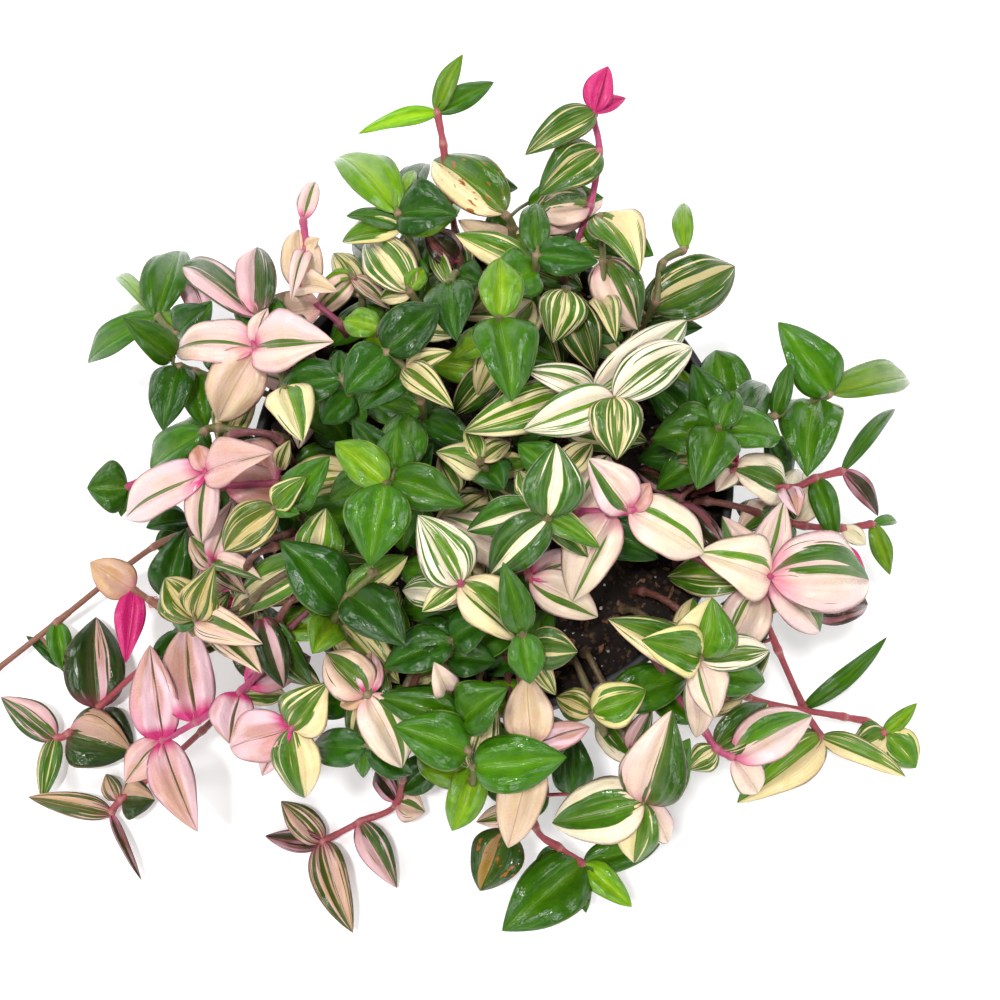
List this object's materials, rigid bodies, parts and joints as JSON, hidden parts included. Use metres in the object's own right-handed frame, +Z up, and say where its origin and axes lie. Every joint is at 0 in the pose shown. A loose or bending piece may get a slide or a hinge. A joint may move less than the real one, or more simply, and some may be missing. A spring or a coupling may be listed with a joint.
{
  "type": "potted tradescantia",
  "caption": "Bushy trailing house plant with green, white-striped and pink leaves on jointed stems, standing in a round tapered nursery pot.",
  "frame": {"origin": "centre of the pot's underside, on the surface that it stands on", "axes": "+Z up along the pot's axis; -Y towards the front of the picture, +X to its right"},
  "size_m": [0.4824, 0.399, 0.2066],
  "materials": {
    "pot_plastic": "satin",
    "potting_soil": "matte",
    "green_foliage": "gloss",
    "striped_foliage": "gloss",
    "cream_foliage": "gloss",
    "pink_foliage": "gloss",
    "dusky_foliage": "gloss"
  },
  "bodies": {
    "root": {"pot": "pot_plastic", "soil": "potting_soil", "stem_green_pair": "green_foliage", "stem_white_star": "striped_foliage", "stem_green_heart": "green_foliage", "stem_white_rib": "striped_foliage", "stem_blush_star": "cream_foliage", "stem_leaf_axis": "green_foliage", "stem_white_fan": "striped_foliage", "stem_pink_star_right": "cream_foliage", "stem_cream_crown": "striped_foliage", "stem_crown_tip": "green_foliage", "stem_upper_left_fan": "green_foliage", "stem_green_rosette": "green_foliage", "stem_pink_star_left": "pink_foliage", "stem_left_axis": "green_foliage", "stem_pink_triplet": "cream_foliage", "stem_glossy_pair": "green_foliage", "stem_front_green": "green_foliage", "stem_front_left_green": "green_foliage", "stem_striped_fan": "striped_foliage", "stem_striped_upper_left": "green_foliage", "stem_blue_green": "green_foliage", "stem_left_peach_tip": "cream_foliage", "stem_half_peach": "cream_foliage", "stem_cream_left": "cream_foliage", "stem_centre_right_halves": "striped_foliage", "stem_right_halves": "striped_foliage", "stem_peach_column": "cream_foliage", "stem_upright_cream": "striped_foliage", "stem_blush_lower_right": "cream_foliage", "stem_olive_fan": "green_foliage", "stem_yellow_stripe": "green_foliage", "stem_low_white": "cream_foliage", "stem_yellow_pair": "green_foliage", "stem_centre_small": "green_foliage", "stem_lime_cream": "striped_foliage", "stem_cream_behind": "green_foliage", "stem_shaded_centre": "green_foliage", "stem_dark_lower_left": "green_foliage", "stem_peach_blade": "cream_foliage", "stem_right_tip": "green_foliage", "stem_striped_wing": "pink_foliage", "stem_pink_bud": "pink_foliage", "stem_left_drop": "green_foliage", "stem_left_side_green": "green_foliage", "stem_magenta_tip": "pink_foliage", "stem_right_blade": "green_foliage", "stem_magenta_runner": "pink_foliage", "stem_rusty_leaf": "green_foliage", "stem_right_trailer_tip": "green_foliage", "stem_lowest_left_tip": "dusky_foliage", "stem_lower_runner": "dusky_foliage"}
  },
  "joints": []
}
